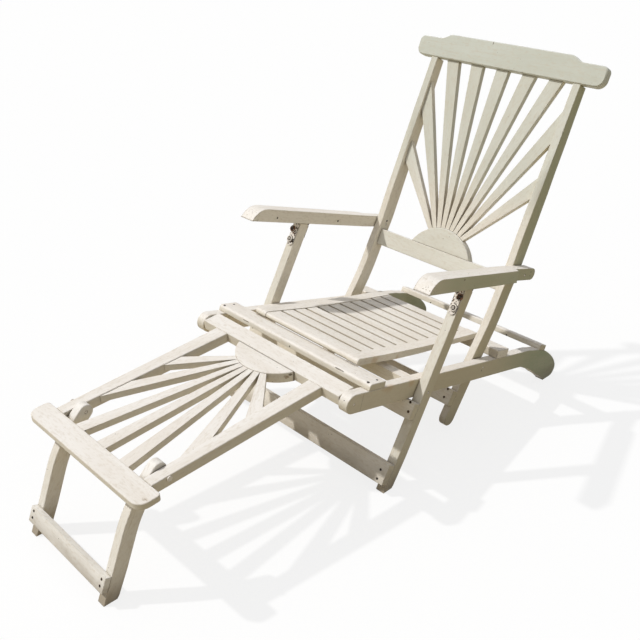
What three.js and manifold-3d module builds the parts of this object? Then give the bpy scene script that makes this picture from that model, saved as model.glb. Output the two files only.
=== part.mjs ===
// Steamer deck chair: slatted seat, sunburst back and sunburst footrest on a folding frame.
// Millimetres, Z up, X across the chair, Y from the foot end to the head end.
import * as THREE from 'three';
import { mergeVertices } from 'three/addons/utils/BufferGeometryUtils.js';
import Module from 'manifold-3d';

const wasm = await Module();
wasm.setup();

// Clearances
const seatGap = 0.3;            // glued, screwed or resting faces
const turnGap = 0.6;            // faces that turn past each other
const overrun = 20;             // how far a cutting tool passes the wood
const ease = 1.2;               // bevel on the sawn edges
const crestEase = 2.4;
const weld = 0.0003;            // points closer than this are one

// Side rails of the base
const railGauge = 25;
const railDepth = 45;
const railInnerHalf = 222;
const railSlope = 12.2;         // degrees, falling to the rear
const knuckleY = -46;
const knuckleZ = 272;
const railReach = 896;          // knuckle to the heel of the rear foot, along the floor
const railFootRun = 180;        // length of the curved foot
const railFootFlat = 34;
const railHeelRound = 24;

// Cross members of the base
const plankWidth = 52;
const plankGauge = 15;
const plankSetback = 42;        // knuckle to the front of the plank, along the rail
const midRailWidth = 34;
const midRailGauge = 25;
const midRailLead = 43;         // front of the middle rail ahead of the leg pivot, along the rail
const midRailDrop = 2;          // below the rail tops
const seatBarWidth = 51;
const seatBarGauge = 22;
const seatBarCover = 15;         // of the bar under the end of the seat
const tailBarWidth = 33;
const tailBarGauge = 16;
const tailBarSetback = 117;     // front of the tail bar to the heel, along the floor
const tailBarSink = 1;          // let into the rails
const barRound = 4;

// Folding linkage: legs, arms, back and base rails make a parallelogram
const legPivotReach = 342;      // leg pivot to the rear end of the seat, along the rail
const legPivotDrop = 3;         // below the middle of the rail
const pivotRun = 265;           // leg pivot to back pivot, along the floor
const pivotFall = 46;
const linkRun = 122;            // leg pivot to arm hinge, along the floor
const linkRise = 219;
const boltRadius = 3;
const boltHeadRadius = 5.5;
const boltHeadHeight = 2;

// Front legs
const legLean = 64.2;           // degrees from the floor
const legGauge = 24;
const legDepth = 32;
const legFootDepth = 25;
const legAnkle = 70;            // height at which the heel starts to taper
const heelShare = 0.08;         // of the leg's depth, rounded off the heel
const stretcherGauge = 19;
const upperStretcherHeight = 40;
const lowerStretcherGauge = 22;
const lowerStretcherHeight = 50;
const lowerStretcherDrop = 206; // leg pivot to the middle of the plate, along the leg

// Arms
const armSlope = 13.6;
const armFrontHeight = 32;
const armRearHeight = 30;
const armNoseRound = 46;
const armNoseUndercut = 4;      // degrees
const armNoseY = 106;
const armNoseProud = 20.4;      // outside the legs
const armWidth = 42;
const armShoulderInset = 30;    // the outer edge runs in by this much to the shoulder
const armEarGauge = 27;
const armEarReach = 45;         // arm bolt to the end of the ear
const armShoulderReach = 42;    // arm bolt to the shoulder in front of the ear
const armShoulderLead = 16;     // outer shoulder ahead of the inner one
const armShoulderFall = 9;      // the outer shoulder ends this much nearer the bolt
const hingeBarrelRadius = 3.6;
const hingeLeafGauge = 2.2;
const hingeLeafLength = 34;
const hingeWidth = 20;
const strapGauge = 2.4;
const strapWidth = 19;
const strapLength = 60;
const strapInset = 3;           // leg top to the top of the strap

// Back
const backLean = 68.9;          // degrees from the floor, upper part of the stiles
const stileGauge = 20;
const stileToeRadius = 20;
const panelSetback = 21;        // face of the panel behind the back pivot
const backCrossHeight = 43;
const backCrossGauge = 24;
const backDiscRise = 233;       // back pivot to the foot of the disc
const backDiscRadius = 104;
const backDiscHeight = 58.5;
const backDiscGauge = 24;
const backRayGauge = 15;
const backRayInset = 3;         // ray faces behind the face of the disc
const backRayWidth = 35;
const backRayRootWidth = 12.3;
const crestRise = 717;          // back pivot to the bottom of the crest
const crestHalf = 275;
const crestHeight = 64;
const crestEndHeight = 51;
const crestLowerRound = 21;
const crestUpperRound = 13;
const crestShoulderHalf = 172;
const crestShoulderRun = 40;
const crestGauge = 25;
const crestProud = 5;           // crest face in front of the face of the panel
const backStretcherHeight = 40;
const backStretcherGauge = 20;
const backStretcherDrop = 102;
const stileBow = 1.1;           // of the stile under the stretcher

// Seat
const seatHalf = 166;
const seatSetback = 88;         // knuckle to the seat nose, along the rail
const seatLength = 487;
const seatRailWidth = 33;
const seatRailDepth = 17;
const seatSlatCount = 10;
const seatSlatGap = 8;
const seatSlatGauge = 12;
const seatSlatInset = 1.5;
const seatNoseWidth = 50;
const seatTenon = 6;            // slat ends let into the rails

// Footrest
const footSlope = 5.25;
const footPlaneRise = 18;       // top of the footrest above its hinge
const headRailWidth = 46;
const headRailFront = 19;       // front of the head rail ahead of the hinge
const footRailGauge = 24;
const footRailHeadOuter = 173;
const footRailHeadInner = 134;
const footRailTailOuter = 165;
const footRailTailInner = 138.5;
const footReach = 426;          // head rail to the front board
const frontBoardWidth = 50;
const frontBoardHalf = 196;
const frontBoardGauge = 14;
const frontBoardRound = 24;
const frontBoardRearRound = 8;
const footDiscRadius = 98;
const footDiscHeight = 60;
const footDiscGauge = 25;
const footRayGauge = 15;
const footRayInset = 2;
const footRayWidth = 30;
const footRayRootWidth = 14.4;

// Footrest legs
const footLegGauge = 22;
const footLegDepth = 33;
const footLegToeDepth = 28;
const footLegLean = 71;         // below the bend
const footLegSetback = 37.5;    // front board to leg pivot, along the footrest
const footLegDrop = 6;          // leg pivot below the top of the footrest
const footLegBendRun = 51;      // leg pivot to the bend, along the floor
const footLegBendFall = 52;
const footLegBendLength = 60;   // straight part starts this far below the bend
const footLegAnkle = 60;
const footPlateHeight = 34;
const footPlateGauge = 13;
const footPlateRise = 49;       // middle of the plate above the floor

// Shares of a length, and where along it they apply
const footTopShares = [[0.14, 0.95], [0.3, 0.89], [0.493, 0.8], [0.74, 0.59], [0.911, 0.39], [0.99, 0.24]];
const footUnderShares = [[0.64, 0.05], [0.508, 0.186], [0.365, 0.305], [0.172, 0.487]];
const stileLineShares = [[-0.212, 0.033], [0, 0.001], [0.15, -0.029], [0.28, -0.039], [0.36, -0.0475],
  [0.45, -0.0475], [0.7, -0.0475], [1, -0.0475]];
const stileDepthShares = [[-0.22, 0.056], [0, 0.06], [0.3, 0.06], [0.46, 0.0635], [1, 0.0448]];
const shoulderShares = [[0, 1], [0.22, 0.94], [0.5, 0.5], [0.78, 0.08], [1, 0]];
const seatUnderShares = [[0, 0], [0.1, 0.02], [0.3, -0.36], [0.5, -0.14], [0.75, 0.62], [0.9, 1], [1, 1]];
const seatTopShares = [[0.04, 1], [0.3, 0.86], [0.5, 0.9], [0.75, 1.02], [1, 1.24]];
const backTipShares = [0, 0.16, 0.318];
const stileTipShares = [0.785, 0.467];
const footTipShares = [0, 0.18];
const railTipShares = [0.688, 0.358];
const discStepDegrees = { back: 7.2, foot: 9 };

const degree = Math.PI / 180;
const chair = new THREE.Group();

function painted(colour, roughness = 0.45) {
  return new THREE.MeshStandardMaterial({ color: colour, roughness, metalness: 0 });
}

function metal(colour) {
  return new THREE.MeshStandardMaterial({ color: colour, roughness: 0.55, metalness: 0.85 });
}

// A sloping line of the side view; places are given along it and above it
class SideLine {
  constructor(y, z, angle) {
    this.y = y;
    this.z = z;
    this.cos = Math.cos(angle * degree);
    this.sin = Math.sin(angle * degree);
  }

  at(along, above = 0) {
    return [this.y + along * this.cos - above * this.sin, this.z + along * this.sin + above * this.cos];
  }

  alongAtHeight(z, above = 0) {
    return (z - this.z - above * this.cos) / this.sin;
  }

  box(from, to, low, high) {
    return [this.at(from, low), this.at(to, low), this.at(to, high), this.at(from, high)];
  }
}

function addMesh(name, geometry, material, parent = chair) {
  const mesh = new THREE.Mesh(geometry, material.clone());
  mesh.name = name;
  parent.add(mesh);
  return mesh;
}

function isClockwise(points) {
  return THREE.ShapeUtils.area(points.map(([a, b]) => new THREE.Vector2(a, b))) < 0;
}

// Wood sawn to an outline, with its edges eased on both faces
function slab(points, gauge, bevel = 0) {
  const loop = isClockwise(points) ? points.slice().reverse() : points;
  const shape = new THREE.Shape(loop.map(([a, b]) => new THREE.Vector2(a, b)));
  const options = { depth: gauge - 2 * bevel, bevelEnabled: bevel > 0, steps: 1, curveSegments: 1 };
  if (bevel > 0) {
    Object.assign(options, { bevelThickness: bevel, bevelSize: bevel, bevelOffset: -bevel });
    options.bevelSegments = 1;
  }
  const geometry = new THREE.ExtrudeGeometry(shape, options);
  geometry.translate(0, 0, bevel);
  return geometry;
}

// An outline of the side view, sawn between two planes across the chair
function sideSlab(points, xLow, xHigh, bevel = 0) {
  const geometry = slab(points, xHigh - xLow, bevel);
  geometry.applyMatrix4(new THREE.Matrix4().makeBasis(
    new THREE.Vector3(0, 1, 0), new THREE.Vector3(0, 0, 1), new THREE.Vector3(1, 0, 0)));
  geometry.translate(xLow, 0, 0);
  return geometry;
}

function solidOf(geometry) {
  const bare = geometry.clone();
  bare.deleteAttribute('normal');
  bare.deleteAttribute('uv');
  const merged = mergeVertices(bare, weld);
  return new wasm.Manifold(new wasm.Mesh({
    numProp: 3,
    vertProperties: new Float32Array(merged.attributes.position.array),
    triVerts: new Uint32Array(merged.index.array),
  }));
}

function geometryOf(solid) {
  const mesh = solid.getMesh();
  const geometry = new THREE.BufferGeometry();
  geometry.setAttribute('position', new THREE.BufferAttribute(new Float32Array(mesh.vertProperties), 3));
  geometry.setIndex(new THREE.BufferAttribute(new Uint32Array(mesh.triVerts), 1));
  return geometry;
}

function rodAlongX(radius, xLow, xHigh, y, z) {
  const geometry = new THREE.CylinderGeometry(radius, radius, xHigh - xLow, 20);
  geometry.rotateZ(Math.PI / 2);
  geometry.translate((xLow + xHigh) / 2, y, z);
  return geometry;
}

// A piece with round holes bored across the chair, each hole given by its middle and radius
function bored(geometry, holes) {
  let solid = solidOf(geometry);
  for (const [y, z, radius] of holes) {
    solid = solid.subtract(solidOf(rodAlongX(radius, 0, armNoseOuterHalf + overrun, y, z)));
  }
  return geometryOf(solid);
}

function arc(a, b, radius, from, to, steps) {
  const points = [];
  for (let i = 0; i <= steps; i += 1) {
    const angle = (from + (to - from) * i / steps) * degree;
    points.push([a + radius * Math.cos(angle), b + radius * Math.sin(angle)]);
  }
  return points;
}

function smooth(points, count) {
  return new THREE.SplineCurve(points.map(([a, b]) => new THREE.Vector2(a, b)))
    .getPoints(count).map((p) => [p.x, p.y]);
}

// The height read off a row of shares at one share of the length
function between(shares, at) {
  let i = 1;
  while (i < shares.length - 1 && shares[i][0] < at) {
    i += 1;
  }
  const [a0, b0] = shares[i - 1];
  const [a1, b1] = shares[i];
  return b0 + (b1 - b0) * (at - a0) / (a1 - a0);
}

// A piece of the right side and its mirror image on the left
function bothSides(name, geometry, material, parent = chair) {
  const right = geometryOf(solidOf(geometry));
  const left = right.clone().applyMatrix4(new THREE.Matrix4().makeScale(-1, 1, 1));
  const index = left.index.array;
  for (let i = 0; i < index.length; i += 3) {
    [index[i], index[i + 1]] = [index[i + 1], index[i]];
  }
  addMesh(`${name}_right`, right, material, parent);
  addMesh(`${name}_left`, left, material, parent);
}

// Places that several pieces share
const railLine = new SideLine(knuckleY, knuckleZ, -railSlope);
const railHalf = railDepth / 2;
const railOuterHalf = railInnerHalf + railGauge;
const legInnerHalf = railOuterHalf + turnGap;
const legOuterHalf = legInnerHalf + legGauge;
const armNoseOuterHalf = legOuterHalf + armNoseProud;
const stileOuterHalf = railInnerHalf - turnGap;
const stileInnerHalf = stileOuterHalf - stileGauge;
const seatEnd = seatSetback + seatLength;
const legPivotSetback = seatEnd - legPivotReach;
const midRailSetback = legPivotSetback - midRailLead;
const [legPivotY, legPivotZ] = railLine.at(legPivotSetback, -legPivotDrop);
const backPivotY = legPivotY + pivotRun;
const backPivotZ = legPivotZ - pivotFall;
const armHingeY = legPivotY + linkRun;
const armHingeZ = legPivotZ + linkRise;
const armBoltY = armHingeY + pivotRun;
const armBoltZ = armHingeZ - pivotFall;
const legLine = new SideLine(legPivotY, legPivotZ, legLean);
const backLine = new SideLine(backPivotY, backPivotZ, backLean);
const armLine = new SideLine(armHingeY, armHingeZ + hingeBarrelRadius + hingeLeafGauge / 2, -armSlope);

// Side rails: a round knuckle in front and a scrolled foot behind
const heelY = knuckleY + railReach;
const footStart = (railReach - railFootRun) / railLine.cos;
const footStartZ = railLine.at(footStart, railHalf)[1];

function footPlace([a, b]) {
  return [heelY + (a - 1) * railFootRun, b * footStartZ];
}

function railOver() {
  return smooth([railLine.at(footStart - railDepth, railHalf), railLine.at(footStart, railHalf),
    ...footTopShares.map(footPlace)], 24);
}

// The tail bar lies on the curve of the rail tops
function tailBarLine() {
  const front = heelY - tailBarSetback;
  const [low, high] = [front, front + tailBarWidth].map((y) => between(railOver(), y) - tailBarSink);
  return new SideLine(front, low, Math.atan2(high - low, tailBarWidth) / degree);
}

function railOutline() {
  const over = railOver();
  const under = smooth([[heelY - railHeelRound - railFootFlat, 0], ...footUnderShares.map(footPlace),
    railLine.at(footStart - railDepth / 2, -railHalf)], 14);
  return [
    ...arc(knuckleY, knuckleZ, railHalf, 90 - railSlope, 270 - railSlope, 14),
    ...under.slice().reverse(),
    ...arc(heelY - railHeelRound, railHeelRound, railHeelRound, -90, 0, 6),
    ...over.slice().reverse(),
  ];
}

function addRails() {
  const notch = sideSlab(tailBarLine().box(-seatGap, tailBarWidth + seatGap,
    -seatGap, tailBarGauge + overrun), 0, railOuterHalf + overrun);
  const rail = solidOf(sideSlab(railOutline(), railInnerHalf, railOuterHalf, ease)).subtract(solidOf(notch));
  const holes = [[legPivotY, legPivotZ], [backPivotY, backPivotZ], [knuckleY, knuckleZ]]
    .map(([y, z]) => [y, z, boltRadius + seatGap]);
  bothSides('side_rail', bored(geometryOf(rail), holes), painted(0xdfd7c4));
}

// Boards that lie across both rails, with the upper front edge rounded
function crossBoard(line, from, width, low, gauge, round) {
  const outline = line.box(from, from + width, low, low + gauge).slice(0, 3);
  for (const [a, b] of arc(from + round, low + gauge - round, round, 90, 180, 5)) {
    outline.push(line.at(a, b));
  }
  return sideSlab(outline, -railOuterHalf, railOuterHalf, ease);
}

function addBaseBoards() {
  const low = railHalf + seatGap;
  addMesh('front_plank', crossBoard(railLine, plankSetback, plankWidth, low, plankGauge, plankGauge / 2),
    painted(0xefe8d9));
  addMesh('seat_bar', crossBoard(railLine, seatEnd - seatBarCover, seatBarWidth, low,
    seatBarGauge, barRound),
    painted(0xe7dfcc));
  addMesh('tail_bar', crossBoard(tailBarLine(), 0, tailBarWidth, 0, tailBarGauge, barRound),
    painted(0xe4dcc9));
  const top = railHalf - midRailDrop;
  const reach = railInnerHalf - seatGap;
  addMesh('mid_cross_rail', sideSlab(railLine.box(midRailSetback, midRailSetback + midRailWidth,
    top - midRailGauge, top), -reach, reach, ease), painted(0xe6dfcc));
}

// Front legs cross the rails on the outside and carry the arms
function legOutline() {
  const half = legDepth / 2;
  const toe = legLine.alongAtHeight(0, half);
  const heelAbove = half - legFootDepth;
  const heel = legLine.alongAtHeight(0, heelAbove);
  const ankle = legLine.alongAtHeight(legAnkle, -half);
  const topGap = hingeBarrelRadius + hingeLeafGauge;
  const cut = [-1, 1].map((side) => {
    const [y, z] = legLine.at(0, side * half);
    const run = (armLine.y - y) * armLine.sin + (z - armLine.z) * armLine.cos + topGap / 2;
    const climb = legLine.sin * armLine.cos - legLine.cos * armLine.sin;
    return legLine.at(-run / climb, side * half);
  });
  const round = legLine.at(heel + half / 2, heelAbove - legDepth * heelShare);
  return [legLine.at(toe, half), legLine.at(heel, heelAbove), round, legLine.at(ankle, -half), ...cut];
}

function legPlate(drop, height, gauge) {
  const front = legDepth / 2 + seatGap;
  return sideSlab(legLine.box(-drop - height / 2, -drop + height / 2, front, front + gauge),
    -legOuterHalf, legOuterHalf, ease);
}

// The upper plate comes up against the rails and stops the legs
function upperPlateDrop() {
  const turn = (legLean + railSlope) * degree;
  const front = legDepth / 2 + seatGap + stretcherGauge;
  const fall = railHalf - legPivotDrop + turnGap + front * Math.cos(turn);
  return fall / Math.sin(turn) + upperStretcherHeight / 2;
}

function addLegs() {
  const holes = [[legPivotY, legPivotZ, boltRadius + turnGap],
    [armHingeY, armHingeZ, hingeBarrelRadius + turnGap]];
  bothSides('front_leg', bored(sideSlab(legOutline(), legInnerHalf, legOuterHalf, ease), holes),
    painted(0xdcd4c1));
  addMesh('upper_leg_stretcher', legPlate(upperPlateDrop(), upperStretcherHeight, stretcherGauge),
    painted(0xd9d0bc));
  addMesh('lower_leg_stretcher', legPlate(lowerStretcherDrop, lowerStretcherHeight, lowerStretcherGauge),
    painted(0xd6cdb8));
}

// Arms: shaped in profile and in plan, with an ear that passes outside the stile
function armProfile() {
  const nose = (armNoseY - armLine.y) / armLine.cos;
  const end = (armBoltY + armEarReach - armLine.y) / armLine.cos;
  const round = armRearHeight / 2;
  const tip = 180 - armNoseUndercut - Math.asin((armNoseRound - armFrontHeight) / armNoseRound) / degree;
  return [
    ...arc(end - round, round, round, -90, 90, 8),
    ...arc(nose + armNoseRound, armFrontHeight - armNoseRound, armNoseRound, 90, tip, 7),
    [nose, 0],
  ].map(([a, b]) => armLine.at(a, b));
}

function armPlan() {
  const shoulderY = armBoltY - armShoulderReach;
  const inner = stileOuterHalf + turnGap;
  const noseInner = armNoseOuterHalf - armWidth;
  return [
    [noseInner, armNoseY - overrun],
    [armNoseOuterHalf, armNoseY - overrun],
    [armNoseOuterHalf, armNoseY],
    [armNoseOuterHalf - armShoulderInset, shoulderY - armShoulderLead],
    [inner + armEarGauge, shoulderY - armShoulderLead + armShoulderFall],
    [inner + armEarGauge, armBoltY + armEarReach + overrun],
    [inner, armBoltY + armEarReach + overrun],
    [inner, shoulderY - armEarGauge],
    [noseInner, armNoseY],
  ];
}

function addArms() {
  const profile = solidOf(sideSlab(armProfile(), stileInnerHalf, armNoseOuterHalf + overrun));
  const arm = geometryOf(profile.intersect(solidOf(slab(armPlan(), armHingeZ * 2))));
  bothSides('arm', bored(arm, [[armBoltY, armBoltZ, boltRadius + turnGap]]), painted(0xe9e2d2));
}

// Hinges between arms and legs: a barrel with its leaf under the arm, and a leaf behind the leg
function addHinges() {
  const middle = (legInnerHalf + legOuterHalf) / 2;
  const [low, high] = [middle - hingeWidth / 2, middle + hingeWidth / 2];
  const barrel = solidOf(rodAlongX(hingeBarrelRadius, low, high, armHingeY, armHingeZ));
  const under = -seatGap;
  const leaf = solidOf(sideSlab(armLine.box(-hingeBarrelRadius / 2, hingeLeafLength,
    under - hingeLeafGauge, under), low, high));
  bothSides('arm_hinge', geometryOf(barrel.add(leaf)), metal(0x6d6257));
  const rear = -legDepth / 2 - seatGap;
  const top = linkRise * legLine.sin + linkRun * legLine.cos - hingeBarrelRadius - turnGap;
  const leg = sideSlab(legLine.box(top - hingeLeafLength, top, rear - hingeLeafGauge, rear), low, high);
  bothSides('leg_hinge', leg, metal(0x6a5f54));
}

// Steel straps screwed to the fronts of the legs
function addStraps() {
  const middle = (legInnerHalf + legOuterHalf) / 2;
  const round = strapWidth / 2;
  const outline = [[-round, 0], ...arc(0, round - strapLength, round, 180, 360, 8), [round, 0]];
  const strap = slab(outline, strapGauge);
  strap.rotateX(legLean * degree);
  const [, top] = legOutline().slice(-2);
  const along = (top[0] - legPivotY) * legLine.cos + (top[1] - legPivotZ) * legLine.sin - strapInset;
  const [y, z] = legLine.at(along, legDepth / 2 + seatGap + strapGauge);
  strap.translate(middle, y, z);
  strap.translate(0, strapGauge * legLine.sin, -strapGauge * legLine.cos);
  bothSides('leg_strap', strap, metal(0x7a6a58));
}

// Stiles of the back: bowed lower down, straight and tapered above
function stileOutline() {
  const count = 22;
  const places = stileLineShares.map(([a, b]) => new THREE.Vector3(a * crestRise, b * crestRise, 0));
  const line = new THREE.CatmullRomCurve3(places, false, 'centripetal');
  const front = [];
  const rear = [];
  for (let i = 0; i <= count; i += 1) {
    const p = line.getPoint(i / count);
    const t = line.getTangent(i / count);
    const half = between(stileDepthShares, p.x / crestRise) * crestRise / 2;
    front.push([p.x - t.y * half, p.y + t.x * half]);
    rear.push([p.x + t.y * half, p.y - t.x * half]);
  }
  return { front, rear, toe: line.getPoint(0), heading: line.getTangent(0) };
}

function addStiles() {
  const { front, rear, toe, heading } = stileOutline();
  const turn = Math.atan2(heading.y, heading.x) / degree;
  const round = arc(toe.x, toe.y, stileToeRadius, turn + 100, turn + 260, 9);
  const top = crestRise - seatGap;
  const clip = ([a, b]) => [Math.min(a, top), b];
  const outline = [...round, ...rear.map(clip), ...front.map(clip).reverse()]
    .map(([a, b]) => backLine.at(a, b));
  const holes = [[backPivotY, backPivotZ, boltRadius + turnGap], [armBoltY, armBoltZ, boltRadius + seatGap]];
  bothSides('back_stile', bored(sideSlab(outline, stileInnerHalf, stileOuterHalf, ease), holes),
    painted(0xe2dac8));
}

// The panel of the back is laid out flat, z up from the back pivot and y to the rear, then leaned
const backPanel = new THREE.Group();
backPanel.position.set(0, backPivotY, backPivotZ);
backPanel.rotation.x = (backLean - 90) * degree;
chair.add(backPanel);

function panelPiece(geometry, faceY, gauge, rise) {
  geometry.rotateX(Math.PI / 2);
  geometry.translate(0, faceY + gauge, rise);
  return geometry;
}

function addBackCross() {
  const reach = stileInnerHalf - seatGap;
  const bottom = backDiscRise - backCrossHeight;
  const outline = [[-reach, bottom], [reach, bottom], [reach, backDiscRise], [-reach, backDiscRise]];
  const rail = panelPiece(slab(outline, backCrossGauge, ease), panelSetback, backCrossGauge, 0);
  addMesh('back_cross_rail', rail, painted(0xdad3c1), backPanel);
}

// A segment of a disc standing on its chord
function discSegment(radius, height, gauge) {
  const spread = Math.acos(1 - height / radius) / degree;
  return slab(arc(0, height - radius, radius, 90 - spread, 90 + spread, 30), gauge, ease);
}

// One ray, from its foot on the disc to its tip on the frame, trimmed by both
function ray(foot, tip, rootWidth, tipWidth, disc, room, gauge) {
  const run = Math.hypot(tip[0] - foot[0], tip[1] - foot[1]);
  const grow = (tipWidth - rootWidth) / 2 / run;
  const back = -rootWidth;
  const far = run + tipWidth + overrun;
  const half = (along) => rootWidth / 2 + grow * along;
  const blank = slab([[-half(back), back], [half(back), back], [half(far), far], [-half(far), far]], gauge);
  blank.rotateZ(-Math.atan2(tip[0] - foot[0], tip[1] - foot[1]));
  blank.translate(foot[0], foot[1], 0);
  const round = new THREE.CylinderGeometry(disc.radius + seatGap, disc.radius + seatGap, gauge * 3, 96);
  round.rotateX(Math.PI / 2);
  round.translate(0, disc.height - disc.radius, 0);
  const frame = slab(room, gauge * 3);
  frame.translate(0, 0, -gauge);
  return geometryOf(solidOf(blank).subtract(solidOf(round)).intersect(solidOf(frame)));
}

function discPoint(disc, step) {
  const angle = step * disc.step * degree;
  return [disc.radius * Math.sin(angle), disc.height - disc.radius + disc.radius * Math.cos(angle)];
}

function addBackSun() {
  const disc = { radius: backDiscRadius, height: backDiscHeight, step: discStepDegrees.back };
  const rise = backDiscRise + seatGap;
  addMesh('back_disc', panelPiece(discSegment(disc.radius, disc.height, backDiscGauge), panelSetback,
    backDiscGauge, rise), painted(0xddd6c5), backPanel);
  const half = stileInnerHalf - seatGap;
  const top = crestRise - rise - seatGap;
  const room = [[-half, 0], [half, 0], [half, top], [-half, top]];
  const tips = [...backTipShares.map((share) => [share * top, top]),
    ...stileTipShares.map((share) => [half, share * top])];
  for (let i = 1 - tips.length; i < tips.length; i += 1) {
    const [x, s] = tips[Math.abs(i)];
    const piece = ray(discPoint(disc, i), [Math.sign(i) * x, s], backRayRootWidth, backRayWidth,
      disc, room, backRayGauge);
    const leaned = panelPiece(piece, panelSetback + backRayInset, backRayGauge, rise);
    addMesh(`back_ray_${i + tips.length}`, leaned, painted(0xd9d2c1), backPanel);
  }
}

// Crest: raised in the middle, with falling shoulders and rounded ends
function crestOutline() {
  const drop = crestHeight - crestEndHeight;
  const right = [
    ...arc(crestHalf - crestLowerRound, crestLowerRound, crestLowerRound, -90, 0, 7),
    ...arc(crestHalf - crestUpperRound, crestEndHeight - crestUpperRound, crestUpperRound, 0, 80, 4),
    ...smooth(shoulderShares.map(([a, b]) => [crestShoulderHalf + a * crestShoulderRun,
      crestEndHeight + b * drop]), 9).reverse(),
  ];
  return [...right, ...right.map(([a, b]) => [-a, b]).reverse()];
}

function addCrest() {
  addMesh('crest_rail', panelPiece(slab(crestOutline(), crestGauge, crestEase), panelSetback - crestProud,
    crestGauge, crestRise), painted(0xdbd4c3), backPanel);
}

function addBackStretcher() {
  const { toe, heading } = stileOutline();
  const turn = Math.atan2(heading.y, heading.x) / degree;
  const [y, z] = backLine.at(toe.x, toe.y);
  const toeLine = new SideLine(y, z, backLean + turn);
  const middle = Math.hypot(toe.x, toe.y) - backStretcherDrop;
  const front = stileDepthShares[0][1] * crestRise / 2 + stileBow + seatGap;
  const board = toeLine.box(middle - backStretcherHeight / 2, middle + backStretcherHeight / 2,
    front, front + backStretcherGauge);
  addMesh('back_stretcher', sideSlab(board, -stileOuterHalf, stileOuterHalf, ease), painted(0xd4ccb8));
}

// Seat: dished side rails, a rounded nose and slats let in between the rails
const seatFrontLow = railHalf + seatGap + plankGauge + seatGap;
const seatRearRise = seatBarGauge - plankGauge;

function seatUnderAt(share) {
  return seatFrontLow + between(seatUnderShares, share) * seatRearRise;
}

function seatTopAt(share) {
  const base = seatFrontLow + Math.max(share - 1 / 2, 0) * seatRearRise / 2;
  return base + between(seatTopShares, share) * seatRailDepth - (1 - share) * seatGap;
}

function seatPoint(along, above) {
  return railLine.at(seatSetback + along, above);
}

function seatNoseArc(inset = 0) {
  const round = seatRailDepth / 2;
  return arc(round, seatFrontLow + round, round - inset, 90, 260, 8).map(([a, b]) => seatPoint(a, b));
}

function addSeat() {
  const count = 16;
  const under = [];
  const top = [];
  for (let i = 1; i <= count; i += 1) {
    const share = i / count;
    under.push(seatPoint(share * seatLength, seatUnderAt(share)));
    top.push(seatPoint(share * seatLength, seatTopAt(share)));
  }
  const side = [...seatNoseArc(), ...under, ...top.reverse()];
  const inner = seatHalf - seatRailWidth;
  let seat = solidOf(sideSlab(side, inner, seatHalf)).add(solidOf(sideSlab(side, -seatHalf, -inner)));
  const reach = inner + seatTenon;
  const noseShare = seatNoseWidth / seatLength;
  const nose = [...seatNoseArc(seatSlatInset),
    seatPoint(seatNoseWidth, seatUnderAt(noseShare) + seatSlatInset),
    seatPoint(seatNoseWidth, seatTopAt(noseShare) - seatSlatInset)];
  seat = seat.add(solidOf(sideSlab(nose, -reach, reach)));
  const pitch = (seatLength - seatNoseWidth) / seatSlatCount;
  for (let i = 0; i < seatSlatCount; i += 1) {
    const [from, to] = [seatNoseWidth + i * pitch + seatSlatGap, seatNoseWidth + (i + 1) * pitch];
    const [high, rise] = [from, to].map((a) => seatTopAt(a / seatLength) - seatSlatInset);
    const slat = [seatPoint(from, high - seatSlatGauge), seatPoint(to, rise - seatSlatGauge),
      seatPoint(to, rise), seatPoint(from, high)];
    seat = seat.add(solidOf(sideSlab(slat, -reach, reach)));
  }
  addMesh('seat', geometryOf(seat), painted(0xeee8da));
}

// The footrest is laid out flat, -y towards the foot end from its hinge, then tilted
const footLegReach = headRailFront + footReach - footLegSetback;
const footPanel = new THREE.Group();
footPanel.position.set(0, knuckleY, knuckleZ);
footPanel.rotation.x = footSlope * degree;
chair.add(footPanel);

function footPiece(points, gauge, low = footPlaneRise - gauge) {
  const geometry = slab(points, gauge, ease);
  geometry.translate(0, 0, low);
  return geometry;
}

function addFootFrame() {
  const reach = railInnerHalf - turnGap;
  const front = -headRailFront;
  const back = front + headRailWidth;
  const head = [[-reach, front], [reach, front], [reach, back], [-reach, back]];
  let rail = solidOf(footPiece(head, footRailGauge));
  for (const side of [-1, 1]) {
    const ends = [side * (reach - overrun), side * (reach + overrun)].sort((a, b) => a - b);
    rail = rail.subtract(solidOf(rodAlongX(boltRadius + turnGap, ends[0], ends[1], 0, 0)));
  }
  addMesh('foot_head_rail', geometryOf(rail), painted(0xefe9da), footPanel);
  const start = front - seatGap;
  const end = front - footReach + seatGap;
  const side = [[footRailHeadInner, start], [footRailHeadOuter, start], [footRailTailOuter, end],
    [footRailTailInner, end]];
  const pinHole = [[-footLegReach, footPlaneRise - footLegDrop, boltRadius + seatGap]];
  bothSides('foot_side_rail', bored(footPiece(side, footRailGauge), pinHole), painted(0xebe4d4), footPanel);
  const rear = front - footReach;
  const corner = (y, round, from, to) => arc(frontBoardHalf - round, y, round, from, to, 7);
  const right = [
    ...corner(rear - frontBoardWidth + frontBoardRound, frontBoardRound, -90, 0),
    ...corner(rear - frontBoardRearRound, frontBoardRearRound, 0, 90)];
  const board = [...right, ...right.map(([a, b]) => [-a, b]).reverse()];
  addMesh('foot_front_board', footPiece(board, frontBoardGauge), painted(0xf0eadb), footPanel);
}

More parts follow.
